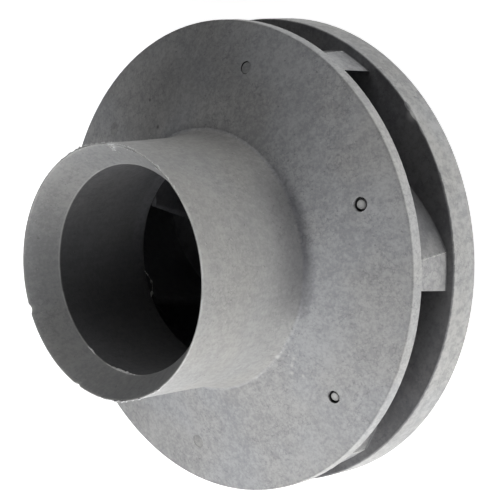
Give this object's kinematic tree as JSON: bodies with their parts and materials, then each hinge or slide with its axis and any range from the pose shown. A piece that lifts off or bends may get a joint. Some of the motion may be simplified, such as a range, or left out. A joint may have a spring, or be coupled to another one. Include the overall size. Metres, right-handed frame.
{
  "type": "pump impeller",
  "caption": "Closed moulded pump impeller with a long suction neck, backward curved vanes between two shrouds and a threaded hub insert.",
  "frame": {"origin": "centre of the hub boss's end face, on the axis of rotation, which is the bottom of the part as it stands", "axes": "+Z along the axis of rotation towards the suction eye, +X through the first vane's locating pin"},
  "size_m": [0.1174, 0.1174, 0.0704],
  "materials": {
    "front_moulding": "matte glass-filled moulding, grey, with a fine mottled grain",
    "rear_moulding": "matte glass-filled moulding, grey, with a fine mottled grain",
    "insert_brass": "machined brass"
  },
  "bodies": {
    "root": {"front_shroud": "front_moulding", "vaned_rear_shroud": "rear_moulding", "threaded_insert": "insert_brass"}
  },
  "joints": []
}
